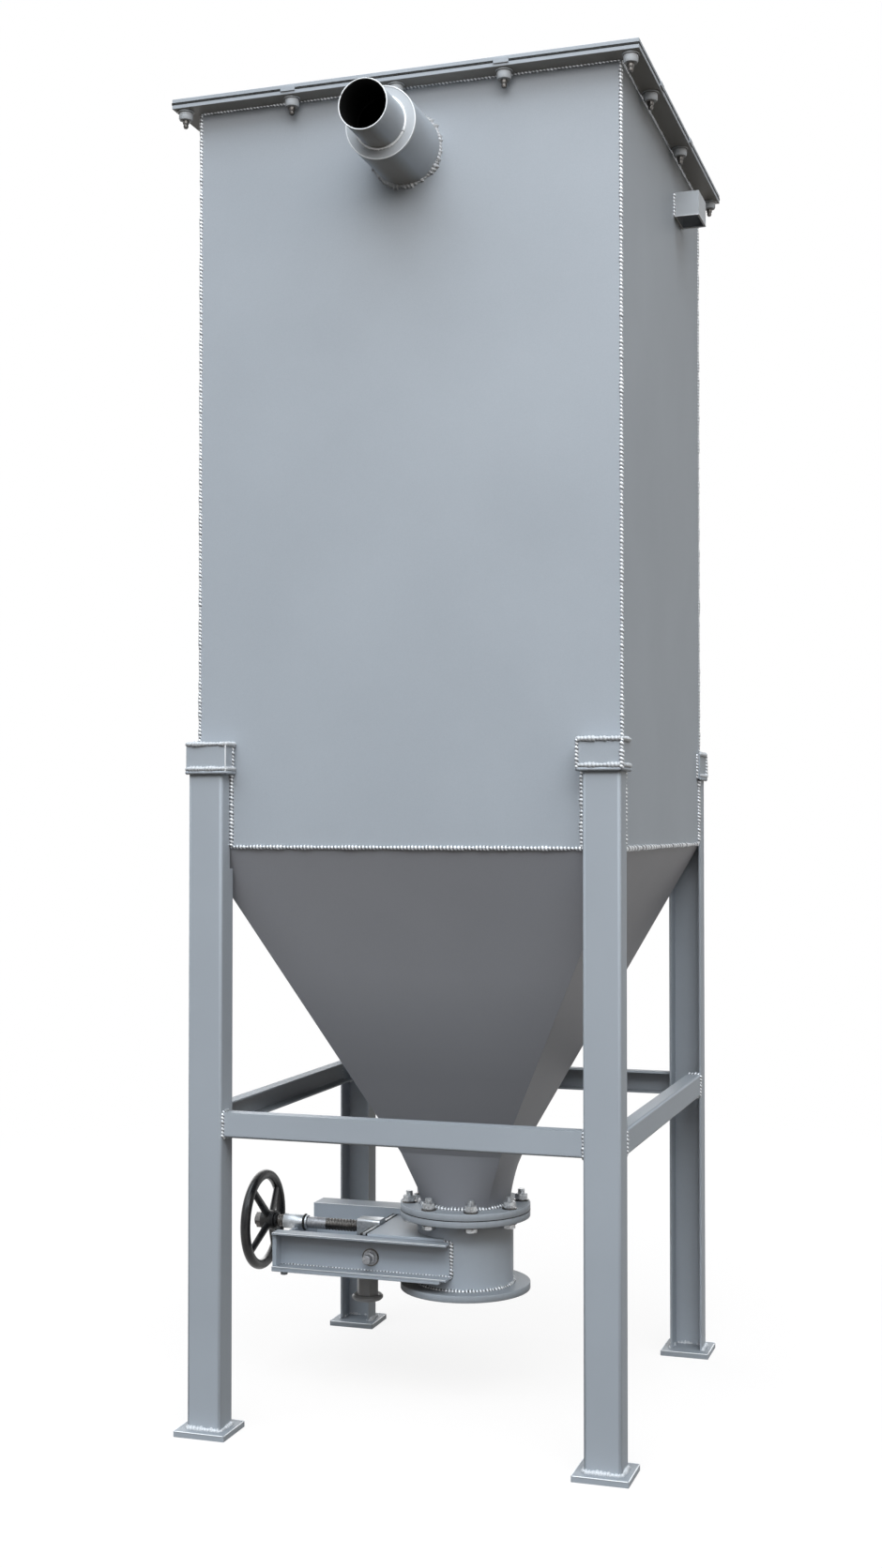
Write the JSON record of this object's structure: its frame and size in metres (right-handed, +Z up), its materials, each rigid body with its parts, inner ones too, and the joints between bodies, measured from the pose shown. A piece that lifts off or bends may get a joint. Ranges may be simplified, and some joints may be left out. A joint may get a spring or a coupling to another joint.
{
  "type": "pulse jet dust collector",
  "caption": "Square steel dust collector housing on channel legs, with a front inlet spigot, a bolted top cover and a square-to-round hopper that ends in a hand-wheel slide gate.",
  "frame": {"origin": "on the floor, under the middle of the housing and on the hopper outlet's axis", "axes": "+Z up, -Y the front with the inlet spigot, -X the side with the hand wheel"},
  "size_m": [1.346, 1.5535, 3.685],
  "materials": {
    "grey_paint": "satin",
    "gasket_rubber": "matte",
    "galvanised_steel": "satin",
    "dark_steel": "oiled",
    "black_enamel": "gloss"
  },
  "bodies": {
    "collector": {"front_wall": "grey_paint", "back_wall": "grey_paint", "left_wall": "grey_paint", "right_wall": "grey_paint", "front_flange_bar": "grey_paint", "back_flange_bar": "grey_paint", "left_flange_bar": "grey_paint", "right_flange_bar": "grey_paint", "top_cover": "grey_paint", "inlet_stub": "grey_paint", "inlet_ring": "grey_paint", "inlet_spigot": "grey_paint", "wall_socket": "grey_paint", "hopper_front": "grey_paint", "hopper_back": "grey_paint", "hopper_left": "grey_paint", "hopper_right": "grey_paint", "hopper_outlet_flange": "grey_paint", "gate_top_flange": "grey_paint", "gate_bottom_flange": "grey_paint", "gate_body": "grey_paint", "leg_front_left": "grey_paint", "leg_front_right": "grey_paint", "leg_back_left": "grey_paint", "leg_back_right": "grey_paint", "leg_caps": "grey_paint", "base_plates": "grey_paint", "front_brace": "grey_paint", "back_brace": "grey_paint", "left_brace": "grey_paint", "right_brace": "grey_paint", "front_rail": "grey_paint", "back_rail": "grey_paint", "rail_end_plate": "grey_paint", "bonnet_top_plate": "grey_paint", "bonnet_bottom_plate": "grey_paint", "gate_guide": "grey_paint", "cleanout_plug": "grey_paint", "cover_gasket": "gasket_rubber", "spindle_bush": "galvanised_steel"},
    "gate": {"gate_blade": "dark_steel", "spindle_block": "galvanised_steel"},
    "wheel": {"handwheel": "black_enamel", "spindle": "dark_steel", "wheel_nut": "galvanised_steel"}
  },
  "joints": [
    {"name": "gate_slide", "type": "slide", "parent": "collector", "child": "gate", "axis": [-1, 0, 0], "range_m": [0, 0.165]},
    {"name": "wheel_turn", "type": "hinge", "parent": "gate", "child": "wheel", "pos_m": [-0.649, 0, 0.4565], "axis": [-1, 0, 0], "range_deg": [0, 5940]}
  ],
  "couplings": [
    {"joint": "gate_slide", "follows": "wheel_turn", "m_per_rad": 0.0015915}
  ]
}
